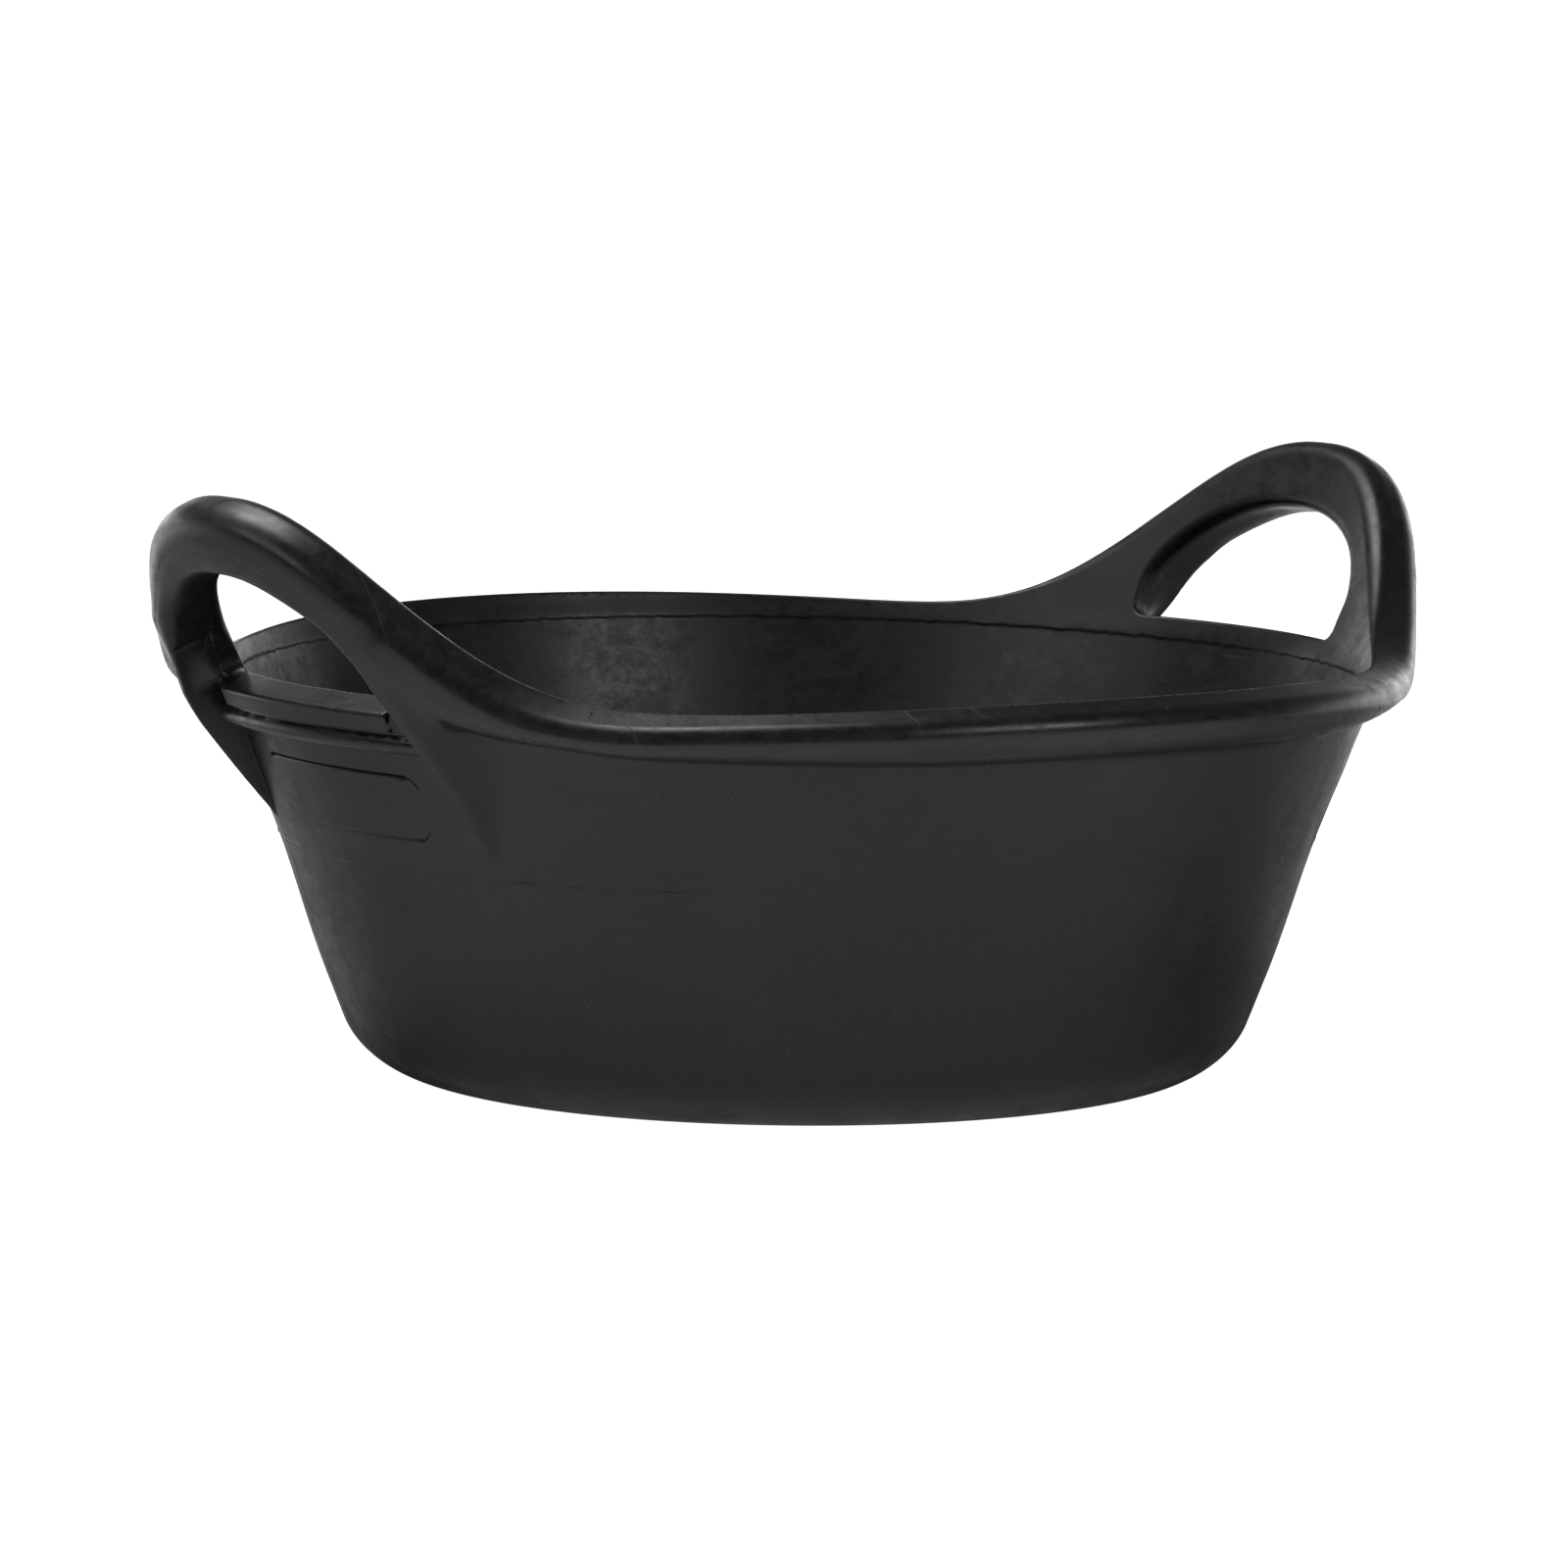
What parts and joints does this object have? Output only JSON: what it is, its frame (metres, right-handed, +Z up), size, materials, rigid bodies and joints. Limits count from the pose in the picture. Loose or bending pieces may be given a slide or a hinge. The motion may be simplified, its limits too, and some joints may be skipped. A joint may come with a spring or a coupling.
{
  "type": "mortar mixing tub",
  "caption": "Round black rubber mixing tub with a conical wall, flat floor, rolled rim bead and loop handles moulded into opposite sides of the rim.",
  "frame": {"origin": "centre of the underside, in the plane the tub stands on", "axes": "+X through the two handles, +Y to the rear, +Z up"},
  "size_m": [0.5098, 0.4408, 0.2196],
  "materials": {
    "floor_rubber": "matt black vulcanised rubber, scuffed underneath",
    "wall_rubber": "satin black vulcanised rubber with faint flow marks and fine scratches",
    "rim_rubber": "satin to glossy black rubber, worn a little shinier along the rim",
    "handle_rubber": "satin black rubber with a moulding knit line along the crown"
  },
  "bodies": {
    "root": {"floor": "floor_rubber", "side_wall": "wall_rubber", "rim_bead_front": "rim_rubber", "rim_bead_rear": "rim_rubber", "handle_left": "handle_rubber", "handle_right": "handle_rubber", "hand_hole_sill_left": "rim_rubber", "hand_hole_sill_right": "rim_rubber", "gusset_left_front": "handle_rubber", "gusset_left_rear": "handle_rubber", "gusset_right_front": "handle_rubber", "gusset_right_rear": "handle_rubber", "badge_panel_left": "wall_rubber"}
  },
  "joints": []
}
